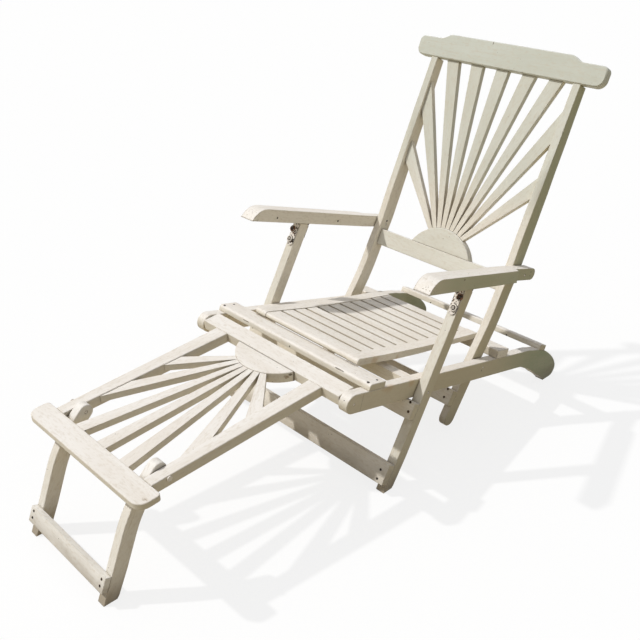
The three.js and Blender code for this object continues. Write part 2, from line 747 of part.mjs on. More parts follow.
function addFootSun() {
  const disc = { radius: footDiscRadius, height: footDiscHeight, step: discStepDegrees.foot };
  const start = -headRailFront - seatGap;
  const flip = (geometry, low) => {
    geometry.rotateZ(Math.PI);
    geometry.translate(0, start, low);
    return geometry;
  };
  const segment = discSegment(disc.radius, disc.height, footDiscGauge);
  addMesh('foot_disc', flip(segment, footPlaneRise - footDiscGauge), painted(0xf0eadd), footPanel);
  const top = footReach - seatGap * 2;
  const [near, far] = [footRailHeadInner, footRailTailInner].map((half) => half - seatGap);
  const room = [[-near, 0], [near, 0], [far, top], [-far, top]];
  const tips = [...footTipShares.map((share) => [share * top, top]),
    ...railTipShares.map((share) => [near, share * top])];
  for (let i = 1 - tips.length; i < tips.length; i += 1) {
    const [x, s] = tips[Math.abs(i)];
    const piece = ray(discPoint(disc, i), [Math.sign(i) * x, s], footRayRootWidth, footRayWidth,
      disc, room, footRayGauge);
    addMesh(`foot_ray_${i + tips.length}`, flip(piece, footPlaneRise - footRayInset - footRayGauge),
      painted(0xeae3d3), footPanel);
  }
}

// Footrest legs stand inside the side rails and stop against the front board
const footLine = new SideLine(knuckleY, knuckleZ, footSlope);
const [footLegPivotY, footLegPivotZ] = footLine.at(-footLegReach, footPlaneRise - footLegDrop);
const footLegLine = new SideLine(footLegPivotY - footLegBendRun, footLegPivotZ - footLegBendFall,
  footLegLean);
const footLegOuterHalf = footRailHeadInner - turnGap
  + (footRailTailInner - footRailHeadInner) * (footReach - footLegSetback * 2) / footReach;
const footLegInnerHalf = footLegOuterHalf - footLegGauge;

function footLegOutline() {
  const half = footLegDepth / 2;
  const toe = footLegLine.alongAtHeight(0, half);
  const heelAbove = half - footLegToeDepth;
  const heel = footLegLine.alongAtHeight(0, heelAbove);
  const round = footLegLine.at(heel + half / 2, heelAbove - footLegDepth * heelShare);
  const ankle = footLegLine.alongAtHeight(footLegAnkle, -half);
  const [upper, middle, lower] = [[footLegPivotY, footLegPivotZ], footLegLine.at(0),
    footLegLine.at(-footLegBendLength)].map(([a, b]) => new THREE.Vector2(a, b));
  const bend = new THREE.QuadraticBezierCurve(upper, middle, lower);
  const count = 8;
  const front = [];
  const rear = [];
  for (let i = 0; i <= count; i += 1) {
    const p = bend.getPoint(i / count);
    const t = bend.getTangent(i / count);
    front.push([p.x + t.y * half, p.y - t.x * half]);
    rear.push([p.x - t.y * half, p.y + t.x * half]);
  }
  const turn = Math.atan2(footLegBendFall, footLegBendRun) / degree;
  const head = arc(footLegPivotY, footLegPivotZ, half, turn - 90, turn + 90, 12).slice(1, -1);
  return [footLegLine.at(toe, half), footLegLine.at(heel, heelAbove), round, footLegLine.at(ankle, -half),
    ...rear.reverse(), ...head, ...front];
}

function addFootLegs() {
  const holes = [[footLegPivotY, footLegPivotZ, boltRadius + turnGap]];
  const leg = sideSlab(footLegOutline(), footLegInnerHalf, footLegOuterHalf, ease);
  bothSides('foot_leg', bored(leg, holes), painted(0xddd5c2));
  const front = footLegDepth / 2 + seatGap;
  const middle = footLegLine.alongAtHeight(footPlateRise, front + footPlateGauge);
  const plate = footLegLine.box(middle - footPlateHeight / 2, middle + footPlateHeight / 2,
    front, front + footPlateGauge);
  addMesh('foot_leg_plate', sideSlab(plate, -footLegOuterHalf, footLegOuterHalf, ease), painted(0xdcd4c2));
}

// Pivot pins end flush with the wood; only those of the footrest legs have a head
function pivotPin(name, y, z, xLow, xHigh, headHeight = 0) {
  let pin = solidOf(rodAlongX(boltRadius, xLow + seatGap, xHigh - seatGap, y, z));
  if (headHeight > 0) {
    pin = pin.add(solidOf(rodAlongX(boltHeadRadius, xHigh - seatGap, xHigh + headHeight, y, z)));
  }
  bothSides(name, geometryOf(pin), metal(0x5d5349));
}

function addPins() {
  pivotPin('leg_bolt', legPivotY, legPivotZ, railInnerHalf, legOuterHalf);
  pivotPin('back_bolt', backPivotY, backPivotZ, stileInnerHalf, railOuterHalf);
  pivotPin('arm_bolt', armBoltY, armBoltZ, stileInnerHalf, stileOuterHalf + turnGap + armEarGauge);
  pivotPin('knuckle_pin', knuckleY, knuckleZ, railInnerHalf - overrun, railOuterHalf);
  const outside = footRailTailOuter + seatGap * 2 + (footRailHeadOuter - footRailTailOuter)
    * (footLegSetback + footLegDepth) / footReach;
  pivotPin('foot_leg_pin', footLegPivotY, footLegPivotZ, footLegInnerHalf, outside, boltHeadHeight);
}

addRails();
addBaseBoards();
addLegs();
addArms();
addHinges();
addStraps();
addStiles();
addBackCross();
addBackSun();
addCrest();
addBackStretcher();
addSeat();
addFootFrame();
addFootSun();
addFootLegs();
addPins();

// The frame's origin lies on the floor under the middle of the chair
const extent = new THREE.Box3().setFromObject(chair);
chair.position.y = -(extent.min.y + extent.max.y) / 2;
chair.updateMatrixWorld(true);

export default chair;
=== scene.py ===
import math

import bmesh
import bpy
from mathutils import Matrix, Vector


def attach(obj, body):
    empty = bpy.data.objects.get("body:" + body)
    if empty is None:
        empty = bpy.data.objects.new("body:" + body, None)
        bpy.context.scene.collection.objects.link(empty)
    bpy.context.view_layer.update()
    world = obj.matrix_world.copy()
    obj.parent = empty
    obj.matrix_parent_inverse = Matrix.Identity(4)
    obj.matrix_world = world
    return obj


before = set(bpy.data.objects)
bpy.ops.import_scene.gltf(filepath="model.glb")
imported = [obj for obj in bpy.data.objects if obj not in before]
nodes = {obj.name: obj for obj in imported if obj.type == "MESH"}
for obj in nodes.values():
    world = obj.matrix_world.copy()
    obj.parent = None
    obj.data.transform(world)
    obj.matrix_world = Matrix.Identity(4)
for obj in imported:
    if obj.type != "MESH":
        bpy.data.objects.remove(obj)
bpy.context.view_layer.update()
scene = bpy.context.scene
scene.view_settings.view_transform = "Standard"
mm = 0.001
plainWhite = (1, 1, 1, 1)


# Shader helpers: one call makes a node, sets its options and links or fills its sockets
def putIn(tree, socket, value):
    if isinstance(value, bpy.types.NodeSocket):
        tree.links.new(value, socket)
    else:
        socket.default_value = value


def shaderNode(tree, kind, sockets=None, **options):
    made = tree.nodes.new(kind)
    for key, value in options.items():
        setattr(made, key, value)
    for key, value in (sockets or {}).items():
        putIn(tree, made.inputs[key], value)
    return made


def math2(tree, operation, a, b=0.0, clamp=False):
    made = shaderNode(tree, "ShaderNodeMath", {0: a, 1: b}, operation=operation, use_clamp=clamp)
    return made.outputs[0]


def plus(tree, a, b):
    return math2(tree, "ADD", a, b)


def times(tree, first, *others):
    for value in others:
        first = math2(tree, "MULTIPLY", first, value)
    return first


def vectorMath(tree, operation, *values):
    made = shaderNode(tree, "ShaderNodeVectorMath", dict(enumerate(values)), operation=operation)
    return made.outputs["Value" if operation in ("DOT_PRODUCT", "LENGTH") else "Vector"]


def dotWith(tree, vector, direction):
    return vectorMath(tree, "DOT_PRODUCT", vector, tuple(direction))


def xyzOf(tree, vector):
    return shaderNode(tree, "ShaderNodeSeparateXYZ", {0: vector}).outputs


def band(tree, value, low, high):
    # 0 under low, 1 over high, smooth between; low above high turns it round
    made = shaderNode(tree, "ShaderNodeMapRange", {"Value": value, "From Min": low, "From Max": high},
                      interpolation_type="SMOOTHSTEP", clamp=True)
    return made.outputs["Result"]


# the sockets of a colour mix
colourMix = {"factor": 0, "a": 6, "b": 7, "result": 2}


def blendColour(tree, factor, a, b):
    made = shaderNode(tree, "ShaderNodeMix", data_type="RGBA", blend_type="MIX")
    for key, value in (("factor", factor), ("a", a), ("b", b)):
        opaque = (*value, 1) if isinstance(value, tuple) else value
        putIn(tree, made.inputs[colourMix[key]], opaque)
    return made.outputs[colourMix["result"]]


def noiseAt(tree, coords, seed, scales, detail, roughness):
    # coords are (along, across, through); each is scaled by itself, in cycles a metre
    parts = [times(tree, c, s) for c, s in zip(coords, scales)]
    vector = shaderNode(tree, "ShaderNodeCombineXYZ", dict(enumerate(parts))).outputs[0]
    made = shaderNode(tree, "ShaderNodeTexNoise", {"Vector": vector, "W": seed, "Scale": 1.0,
                      "Detail": detail, "Roughness": roughness}, noise_dimensions="4D")
    return made.outputs[0]


def noisesOf(tree, coords, seed, table):
    return {key: noiseAt(tree, coords, seed + step, scales, detail, roughness)
            for key, (scales, step, detail, roughness) in table.items()}


def grainFrame(direction):
    nearUpright = 0.9
    d = Vector(direction).normalized()
    side = d.cross(Vector((0, 0, 1)) if abs(d.z) < nearUpright else Vector((0, 1, 0))).normalized()
    return d, side, d.cross(side)


def roundedNormal(tree, radius, samples=4):
    return shaderNode(tree, "ShaderNodeBevel", {"Radius": radius}, samples=samples).outputs[0]


def facingOf(tree, rounded):
    # 1 on a flat face, less where the rounded normal turns away from the face's own
    geometry = shaderNode(tree, "ShaderNodeNewGeometry")
    return vectorMath(tree, "DOT_PRODUCT", rounded, geometry.outputs["True Normal"])


def newTree(name):
    material = bpy.data.materials.new(name)
    material.use_nodes = True
    material.node_tree.nodes.clear()
    return material, material.node_tree


# Old oil paint over sawn wood: brush lines along the grain, hair cracks, specks and worn edges, with
# painted light, shade and green reflection by facing, and painted shade in the corners
paintLook = {
    "cream": (0.855, 0.800, 0.730),    # painted light: faces turned to the sky are lighter
    "bright": (0.920, 0.880, 0.828),
    "uprightShade": (0.735, 0.680, 0.570),     # painted shade: upright faces are darker and yellower
    "uprightShadeBright": (0.800, 0.755, 0.655),
    "paintedBounce": (0.930, 0.870, 0.745),  # painted bounce light on the inner faces of the sides
    "outerShade": (0.540, 0.475, 0.285),  # painted shade on the outer faces of the sides
    # painted green reflection of grass, on the side faces
    "greenReflection": (0.320, 0.365, 0.210),
    "chalk": (0.410, 0.510, 0.460),
    "pale": (0.910, 0.890, 0.850),
    "stain": (0.560, 0.380, 0.190),
    "tan": (0.560, 0.470, 0.340),
    # dark brown: real dirt and pits, and painted shade in the corners and seat gaps
    "grimeAndShade": (0.260, 0.205, 0.130),
    "crack": (0.130, 0.100, 0.065),
    "wood": (0.330, 0.235, 0.140),
}

# cycles a metre along, across and through the grain, the step from the board's seed, detail, roughness
grainNoise = {
    "tone": ((5, 24, 24), 0, 4.0, 0.55),
    "brush": ((11, 340, 340), 3, 3.0, 0.6),
    "mottle": ((90, 230, 230), 31, 3.0, 0.6),
    "fine": ((60, 900, 900), 5, 2.0, 0.55),
    "patch": ((13, 30, 30), 9, 2.0, 0.55),
    "hair": ((16, 260, 260), 14, 5.0, 0.7),
    "chip": ((55, 70, 70), 21, 4.0, 0.65),
}

# where each look of the paint starts and where it is full, on the measure named behind it
paintBands = {
    "patchy": (0.34, 0.66),        # tone noise
    "skyward": (0.30, 0.95),       # how far the face looks up
    "outer": (0.5, 0.9),           # how far the face looks out of the chair
    "inner": (-0.5, -0.9),
    "sides": (0.15, 0.19),         # distance from the middle of the chair, m
    "headward": (-0.10, 0.25),     # place along the chair, m
    "brush": (0.52, 0.74),         # noise of the same name, as in the next lines
    "mottle": (0.46, 0.72),
    "hair": (0.665, 0.70),
    "patch": (0.52, 0.62),
    "chip": (0.60, 0.64),
    "speck": (0.86, 1.0),          # random value of a cell
    "pit": (0.45, 1.0),
    "edge": (0.985, 0.90),         # how far the rounded normal keeps to the face's own
    "wideEdge": (0.96, 0.80),
    "corner": (0.74, 0.28),        # open share of the surroundings
    "foot": (0.045, -0.028),       # height over the floor, m
    "front": (-0.6, -0.9),         # how far the face looks to the head end
}

# how strong each look is at its fullest
paintShare = {
    "outerShadeShare": 0.76,
    "paintedBounceShare": 0.80,
    "brush": 0.20,
    "mottle": 0.30,
    "crack": 0.6,
    "speck": 0.75,
    "pit": 0.8,
    "edge": 0.22,
    "wideEdge": 0.75,
    "chip": 0.85,
    "corner": 0.72,
    "foot": 0.55,
}

# what the noise does to the other looks, and sizes in metres or in cells a metre
paintDetail = {
    "edgeWidth": 0.0016,
    "pittedEdges": 3.0,
    "toneSkyward": 0.2,
    "headLeast": 0.55,
    "headGain": 0.45,
    "filmLeast": 0.65,
    "filmPatch": 0.7,
    "specks": 115.0,
    "speckSize": 0.11,
    "pits": 260.0,
    "pitSize": 0.36,
    "cornerReach": 0.014,
    "footPatch": -0.06,
    "noiseMiddle": 0.5,
    "markNoise": 2.2,
    "seamCore": 0.4,
    "gapRun": 0.01,
}
paintSurface = {
    "brushHeight": 0.8,
    "fineHeight": 0.25,
    "crackDepth": 0.8,
    "bumpStrength": 0.85,
    "bumpDepth": 0.00016,
    "rough": 0.45,
    "toneRough": 0.18,
    "chipRough": 0.35,
    "specular": 0.3,
}

# colour, where the mark is full, where it ends, strength
markLook = {
    "chip": ("crack", 0.75, 0.95, 0.85),
    "bare": ("wood", 0.70, 1.00, 0.75),
    "stain": ("stain", 0.20, 1.20, 0.45),
    "grimeAndShade": ("grimeAndShade", 0.20, 1.30, 0.65),
    "worn": ("tan", 0.20, 1.30, 0.60),
}
seatRailWay = (0, 1, -0.2)


def lookBand(tree, value, key):
    return band(tree, value, *paintBands[key])


def tinted(tree, colour, look, *factors):
    # blends towards one of the paint's looks, by the product of the factors
    return blendColour(tree, times(tree, *factors), colour, paintLook[look])


def boardOf(tree, direction, seed, sideRails):
    # the sockets that the layers of a board's paint read
    place = shaderNode(tree, "ShaderNodeTexCoord").outputs["Object"]
    normal = xyzOf(tree, shaderNode(tree, "ShaderNodeTexCoord").outputs["Normal"])
    xyz = xyzOf(tree, place)
    fromMiddle = math2(tree, "ABSOLUTE", xyz[0])
    coords = [dotWith(tree, place, axis) for axis in grainFrame(direction)]
    if sideRails:  # beyond this half width the grain turns to run along the rail
        mask = math2(tree, "GREATER_THAN", fromMiddle, sideRails)
        alongSide = [dotWith(tree, place, axis) for axis in grainFrame(seatRailWay)]
        coords = [shaderNode(tree, "ShaderNodeMix", {0: mask, 2: a, 3: b}, data_type="FLOAT").outputs[0]
                  for a, b in zip(coords, alongSide)]
    noise = noisesOf(tree, coords, seed, grainNoise)
    rounded = roundedNormal(tree, paintDetail["edgeWidth"])
    edge = lookBand(tree, facingOf(tree, rounded), "edge")
    hair = lookBand(tree, noise["hair"], "hair")
    return {
        "place": place,
        "normal": normal,
        "xyz": xyz,
        "fromMiddle": fromMiddle,
        "outward": times(tree, math2(tree, "SIGN", xyz[0]), normal[0]),
        "noise": noise,
        "rounded": rounded,
        "edge": edge,
        "cracks": times(tree, hair, lookBand(tree, noise["patch"], "patch")),
        "chips": times(tree, edge, lookBand(tree, noise["chip"], "chip")),
    }


def facingShadedBase(tree, board, grey, pale):
    patchy = lookBand(tree, board["noise"]["tone"], "patchy")
    upness = plus(tree, board["normal"][2], times(tree, board["noise"]["tone"], paintDetail["toneSkyward"]))
    # painted light and shade by facing: faces turned up get the light paint, upright faces the darker,
    # yellower one
    skyLit = blendColour(tree, patchy, paintLook["cream"], paintLook["bright"])
    uprightShade = blendColour(tree, patchy, paintLook["uprightShade"], paintLook["uprightShadeBright"])
    colour = blendColour(tree, lookBand(tree, upness, "skyward"), uprightShade, skyLit)
    if grey:  # a cool chalky film, from one height to another
        chalky = band(tree, board["xyz"][2], grey["low"], grey["high"])
        colour = tinted(tree, colour, "chalk", chalky, grey["strength"])
    if pale:
        colour = tinted(tree, colour, "pale", pale)
    return colour


def sideColour(tree, board, colour, outer, greenReflection):
    # the side faces: painted shade outside, stronger towards the head end, and painted bounce light inside
    outward = board["outward"]
    y = board["xyz"][1]
    sides = lookBand(tree, board["fromMiddle"], "sides")
    if outer:
        headward = times(tree, lookBand(tree, y, "headward"), paintDetail["headGain"])
        headward = plus(tree, headward, paintDetail["headLeast"])
        colour = tinted(tree, colour, outer, lookBand(tree, outward, "outer"), sides, headward,
                        paintShare["outerShadeShare"])
    inward = lookBand(tree, outward, "inner")
    colour = tinted(tree, colour, "paintedBounce", inward, sides, paintShare["paintedBounceShare"])
    if greenReflection:  # painted green reflection of grass on the side faces, stronger towards one end
        reached = math2(tree, "ABSOLUTE", outward) if greenReflection["bothFaces"] else outward
        uneven = plus(tree, times(tree, board["noise"]["patch"], paintDetail["filmPatch"]),
                      paintDetail["filmLeast"])
        reflected = times(tree, lookBand(tree, reached, "outer"), band(tree, y, greenReflection["start"], greenReflection["full"]),
                     uneven)
        reflected = math2(tree, "MULTIPLY", reflected, greenReflection["strength"], clamp=True)
        colour = tinted(tree, colour, "greenReflection", reflected)
    return colour


def cellsOf(tree, board, scale, channel):
    # cells of one scale: the distance from the middle of each, and a random value of its own
    cell = shaderNode(tree, "ShaderNodeTexVoronoi", {"Vector": board["place"], "Scale": scale,
                      "Randomness": 1.0})
    random = shaderNode(tree, "ShaderNodeSeparateColor", {0: cell.outputs["Color"]}).outputs[channel]
    return cell.outputs["Distance"], random


def grainColour(tree, board, colour, wear):
    for key in ("brush", "mottle"):
        colour = tinted(tree, colour, "tan", lookBand(tree, board["noise"][key], key), paintShare[key])
    colour = tinted(tree, colour, "crack", board["cracks"], paintShare["crack"] * wear)
    # specks: small dark dots, in a few of the cells only
    distance, random = cellsOf(tree, board, paintDetail["specks"], 0)
    size = times(tree, lookBand(tree, random, "speck"), paintDetail["speckSize"])
    speck = math2(tree, "LESS_THAN", distance, size)
    return tinted(tree, colour, "crack", speck, paintShare["speck"] * wear)


def edgeColour(tree, board, colour, wear, pits):
    if pits:  # a pitted end, with the dark wood showing along its edges
        near = band(tree, board["xyz"][1], pits["start"], pits["full"])
        distance, random = cellsOf(tree, board, paintDetail["pits"], 1)
        size = times(tree, lookBand(tree, random, "pit"), paintDetail["pitSize"])
        pit = math2(tree, "LESS_THAN", distance, size)
        colour = tinted(tree, colour, "grimeAndShade", pit, near, paintShare["pit"])
    # worn edges, found where a rounded normal leaves the face's own
    colour = tinted(tree, colour, "tan", board["edge"], paintShare["edge"])
    if pits:
        wide = roundedNormal(tree, paintDetail["pittedEdges"] * paintDetail["edgeWidth"])
        wide = lookBand(tree, facingOf(tree, wide), "wideEdge")
        colour = tinted(tree, colour, "grimeAndShade", wide, near, paintShare["wideEdge"])
    return tinted(tree, colour, "wood", board["chips"], paintShare["chip"] * wear)


def cornerShadeAndFloorColour(tree, board, colour, floorDarkening):
    # painted shade in the corners, found by occlusion, and darker near the floor
    around = shaderNode(tree, "ShaderNodeAmbientOcclusion", {"Distance": paintDetail["cornerReach"]},
                        samples=4)
    corner = lookBand(tree, around.outputs["AO"], "corner")
    colour = tinted(tree, colour, "grimeAndShade", corner, paintShare["corner"])
    height = plus(tree, board["xyz"][2], times(tree, board["noise"]["patch"], paintDetail["footPatch"]))
    return tinted(tree, colour, "grimeAndShade", lookBand(tree, height, "foot"), paintShare["foot"] + floorDarkening)


def markColour(tree, board, colour, mark):
    # one mark: its kind, and its middle and half sizes in mm
    kind, middle, halves = mark
    look, full, end, strength = markLook[kind]
    gone = vectorMath(tree, "SUBTRACT", board["place"], [v * mm for v in middle])
    gone = vectorMath(tree, "DIVIDE", gone, [v * mm for v in halves])
    uneven = math2(tree, "SUBTRACT", board["noise"]["chip"], paintDetail["noiseMiddle"])
    reach = plus(tree, vectorMath(tree, "LENGTH", gone), times(tree, uneven, paintDetail["markNoise"]))
    return tinted(tree, colour, look, band(tree, reach, end, full), strength)


def seamColour(tree, board, colour, seam):
    # a joint line across a direction, outside a half width of the chair
    away = math2(tree, "SUBTRACT", dotWith(tree, board["place"], seam["facing"]), seam["offset"])
    away = math2(tree, "ABSOLUTE", away)
    line = band(tree, away, seam["half"], seam["half"] * paintDetail["seamCore"])
    outside = math2(tree, "GREATER_THAN", board["fromMiddle"], seam["beyond"])
    return tinted(tree, colour, "crack", line, seam["strength"], outside)


def gapColour(tree, board, colour, gaps):
    # painted shade: the front faces of the slats, inside the gaps, are darkened brown
    front = lookBand(tree, board["normal"][1], "front")
    run = band(tree, board["xyz"][1], gaps["start"], gaps["start"] + paintDetail["gapRun"])
    return tinted(tree, colour, "grimeAndShade", front, run, gaps["strength"])


def paintShader(tree, board, colour):
    noise = board["noise"]
    chips = board["chips"]
    raised = plus(tree, times(tree, noise["brush"], paintSurface["brushHeight"]),
                  times(tree, noise["fine"], paintSurface["fineHeight"]))
    sunk = plus(tree, times(tree, board["cracks"], paintSurface["crackDepth"]), chips)
    bump = shaderNode(tree, "ShaderNodeBump", {
        "Height": math2(tree, "SUBTRACT", raised, sunk),
        "Strength": paintSurface["bumpStrength"],
        "Distance": paintSurface["bumpDepth"],
        "Normal": board["rounded"],
    })
    rough = plus(tree, times(tree, noise["tone"], paintSurface["toneRough"]), paintSurface["rough"])
    rough = math2(tree, "ADD", rough, times(tree, chips, paintSurface["chipRough"]), clamp=True)
    return shaderNode(tree, "ShaderNodeBsdfPrincipled", {
        "Base Color": colour,
        "Roughness": rough,
        "Normal": bump.outputs[0],
        "Specular IOR Level": paintSurface["specular"],
    })


def paintMaterial(name, direction, seed, wear=1.0, floorDarkening=0.0, grey=None, pale=0.0, outer="outerShade",
                  sideRails=None, seams=(), greenReflection=None, gaps=None, pits=None, marks=()):
    material, tree = newTree(name)
    board = boardOf(tree, direction, seed, sideRails)
    colour = facingShadedBase(tree, board, grey, pale)
    colour = sideColour(tree, board, colour, outer, greenReflection)
    colour = grainColour(tree, board, colour, wear)
    colour = edgeColour(tree, board, colour, wear, pits)
    colour = cornerShadeAndFloorColour(tree, board, colour, floorDarkening)
    for mark in marks:
        colour = markColour(tree, board, colour, mark)
    for seam in seams:
        colour = seamColour(tree, board, colour, seam)
    if gaps:
        colour = gapColour(tree, board, colour, gaps)
    shader = paintShader(tree, board, colour)
    shaderNode(tree, "ShaderNodeOutputMaterial", {0: shader.outputs[0]})
    return material


# Plain steel hardware, dulled by rust and by stray paint
steelLook = {
    "dark": (0.040, 0.031, 0.024),
    "rust": (0.190, 0.090, 0.042),
    "bare": (0.330, 0.310, 0.280),
}
steelNoise = {
    "wide": ((160, 160, 160), 0, 4.0, 0.55),
    "fine": ((900, 900, 900), 4, 3.0, 0.55),
    "smear": ((230, 230, 230), 7, 3.0, 0.55),
}
steelSurface = {
    "rust": (0.58, 0.80),
    "rustShift": 0.2,
    "bare": (0.60, 0.72),
    "smear": 0.66,
    "smearShift": 0.35,
    "smearRun": 0.04,
    "edgeWidth": 0.0012,
    "edge": (0.99, 0.90),
    "edgePatch": (0.36, 0.50),
    "metallic": 0.75,
    "rough": 0.34,
    "fineRough": 0.35,
    "bumpStrength": 0.7,
    "bumpDepth": 0.0002,
}


def steelMaterial(name, seed, paint=0.0, rust=0.5):
    material, tree = newTree(name)
    place = shaderNode(tree, "ShaderNodeTexCoord").outputs["Object"]
    noise = noisesOf(tree, xyzOf(tree, place), seed, steelNoise)
    rustStart, rustFull = (level - steelSurface["rustShift"] * rust for level in steelSurface["rust"])
    colour = blendColour(tree, band(tree, noise["wide"], rustStart, rustFull), steelLook["dark"],
                         steelLook["rust"])
    colour = blendColour(tree, band(tree, noise["fine"], *steelSurface["bare"]), colour, steelLook["bare"])
    # stray paint, rubbed off the edges
    start = steelSurface["smear"] - steelSurface["smearShift"] * paint
    smear = band(tree, noise["smear"], start, start + steelSurface["smearRun"])
    facing = facingOf(tree, roundedNormal(tree, steelSurface["edgeWidth"]))
    edge = times(tree, band(tree, facing, *steelSurface["edge"]),
                 band(tree, noise["wide"], *steelSurface["edgePatch"]))
    smear = math2(tree, "SUBTRACT", smear, edge, clamp=True)
    smear = times(tree, smear, 1.0 if paint > 0 else 0.0)
    colour = blendColour(tree, smear, colour, paintLook["cream"])
    covered = times(tree, smear, steelSurface["metallic"])
    rough = plus(tree, times(tree, noise["fine"], steelSurface["fineRough"]), steelSurface["rough"])
    bump = shaderNode(tree, "ShaderNodeBump", {
        "Height": plus(tree, noise["fine"], noise["wide"]),
        "Strength": steelSurface["bumpStrength"],
        "Distance": steelSurface["bumpDepth"],
    })
    shader = shaderNode(tree, "ShaderNodeBsdfPrincipled", {
        "Base Color": colour,
        "Roughness": rough,
        "Metallic": math2(tree, "SUBTRACT", steelSurface["metallic"], covered),
        "Normal": bump.outputs[0],
    })
    shaderNode(tree, "ShaderNodeOutputMaterial", {0: shader.outputs[0]})
    return material


def longestWay(obj, rounds=60):
    # the main direction of a board's own points, found by turning a first guess towards it
    points = [v.co for v in obj.data.vertices]
    middle = sum(points, Vector()) / len(points)
    way = Vector((0.31, 0.83, 0.46))
    for _ in range(rounds):
        way = sum(((p - middle) * (p - middle).dot(way) for p in points), Vector()).normalized()
    return way


# the share of stray paint on each kind of steel piece
steelPaint = {
    "leg_bolt": 0.9,
    "back_bolt": 0.9,
    "knuckle_pin": 0.9,
    "arm_bolt": 0.9,
    "foot_leg_pin": 0.9,
    "arm_hinge": 0.2,
    "leg_hinge": 0.2,
    "leg_strap": 0.66,
}
crossGrain = ("seat", "back_disc", "foot_disc", "back_cross_rail", "crest_rail")

# the ways that the faces of the sloping pieces look
legFront = (0, -0.9003, 0.4352)
stretcherFront = (0, -0.87, 0.5)
plateFront = (0, -0.946, 0.326)
railTop = (0, 0.2113, 0.9774)
alongRail = (0, 0.9774, -0.2113)
alongFootrest = (0, 0.9981, 0.0622)


def reachOf(name, facing):
    # how far a piece reaches along a direction
    return max(Vector(facing).dot(v.co) for v in nodes[name].data.vertices)


def rearSeam(name, facing):
    # the joint line at the rear of a plate's ends
    return {"facing": facing, "offset": -reachOf(name, -Vector(facing)), "half": 0.0016, "beyond": 0.247,
            "strength": 0.9}


discSeam = {
    "facing": alongFootrest,
    "offset": reachOf("foot_disc", alongFootrest),
    "half": 0.0048,
    "beyond": 0,
    "strength": 0.95,
}
railSeam = {"facing": alongRail, "offset": -0.2037, "half": 0.0008, "beyond": 0.2465, "strength": 0.45}


def chalkAll(strength):
    # the chalky film over the whole height of a piece
    return {"strength": strength, "low": 0.0, "high": 0.01}


def chalkUpwards(strength):
    return {"strength": strength, "low": 0.46, "high": 0.62}


def greenReflectionAlong(start, full, strength, bothFaces=False):
    return {"start": start, "full": full, "strength": strength, "bothFaces": bothFaces}


# marks: kind, middle and half sizes in mm
special = {
    "seat": {
        "sideRails": 0.1325,
        "wear": 1.3,
        # the seat's outer faces get the painted bounce light too
        "outer": "paintedBounce",
        "gaps": {"start": -0.045, "strength": 0.25},
        "marks": [
            ("stain", (166, -20, 285), (8, 16, 10)),
            ("stain", (166, 62, 262), (6, 9, 8)),
            ("worn", (60, 150, 232), (30, 12, 8)),
            ("worn", (-70, 60, 250), (22, 9, 8)),
            ("worn", (20, 260, 212), (26, 10, 8)),
        ],
    },
    "lower_leg_stretcher": {
        "wear": 1.6,
        "floorDarkening": 0.1,
        "pale": 0.3,
        "seams": [rearSeam("lower_leg_stretcher", legFront)],
    },
    "upper_leg_stretcher": {"wear": 1.4, "seams": [rearSeam("upper_leg_stretcher", legFront)]},
    "foot_disc": {
        "wear": 1.5,
        "seams": [discSeam],
        "marks": [
            ("chip", (86, -204, 281), (9, 5, 3)),
            ("bare", (80, -210, 276), (12, 7, 6)),
        ],
    },
    "crest_rail": {
        "grey": chalkAll(0.44),
        "wear": 1.2,
        "outer": None,
        "marks": [("chip", (-47, 612, 893), (1.1, 4, 7))],
        "greenReflection": greenReflectionAlong(0.3, 0.5, 0.15),
    },
    "back_disc": {"grey": chalkAll(0.20)},
    "back_ray": {"grey": chalkUpwards(0.32)},
    "back_cross_rail": {"grey": chalkAll(0.16)},
    "side_rail": {
        "greenReflection": greenReflectionAlong(0.30, 0.64, 0.86, bothFaces=True),
        "pits": {"start": 0.59, "full": 0.68},
        "seams": [railSeam],
        "marks": [
            ("stain", (247, -60, 268), (8, 26, 14)),
            ("stain", (247, 20, 250), (8, 14, 12)),
            ("chip", (247, 311, 167), (4, 2.2, 4.5)),
            ("stain", (-247, 90, 232), (8, 20, 12)),
            ("chip", (-247, 240, 190), (4, 4, 2)),
        ],
    },
    "arm": {
        "wear": 1.4,
        "greenReflection": greenReflectionAlong(-0.08, 0.10, 0.55),
        "pits": {"start": 0.020, "full": -0.012},
    },
    "back_stile": {"grey": chalkUpwards(0.30), "greenReflection": greenReflectionAlong(0.34, 0.50, 0.60)},
    "front_plank": {
        "wear": 1.3,
        "marks": [
            ("chip", (154, -125.8, 295.8), (15, 1.8, 2.2)),
            ("chip", (-150, -127, 293), (16, 2, 1.6)),
            ("grimeAndShade", (-190, -128, 283), (24, 4, 4)),
        ],
    },
    "front_leg": {"floorDarkening": 0.15, "wear": 1.6, "grey": chalkAll(0.10)},
    "foot_leg": {"floorDarkening": 0.2, "wear": 1.2, "pale": 0.4},
    "foot_leg_plate": {"floorDarkening": 0.2, "wear": 1.2, "pale": 0.85},
    "foot_front_board": {
        "marks": [
            ("bare", (186, -648, 243), (10, 7, 6)),
            ("chip", (188, -649, 243), (6, 4, 5)),
        ],
    },
    "back_stretcher": {"wear": 1.4},
}


def specialOf(name):
    # the longest key that the name starts with
    keys = [key for key in special if name == key or name.startswith(key + "_")]
    return special[max(keys, key=len)] if keys else {}


# Round pieces keep smooth shading: points are welded and shallow edges smoothed, in modifiers alone
smoothing = {"shallowAngle": 0.55, "weld": 0.00001}


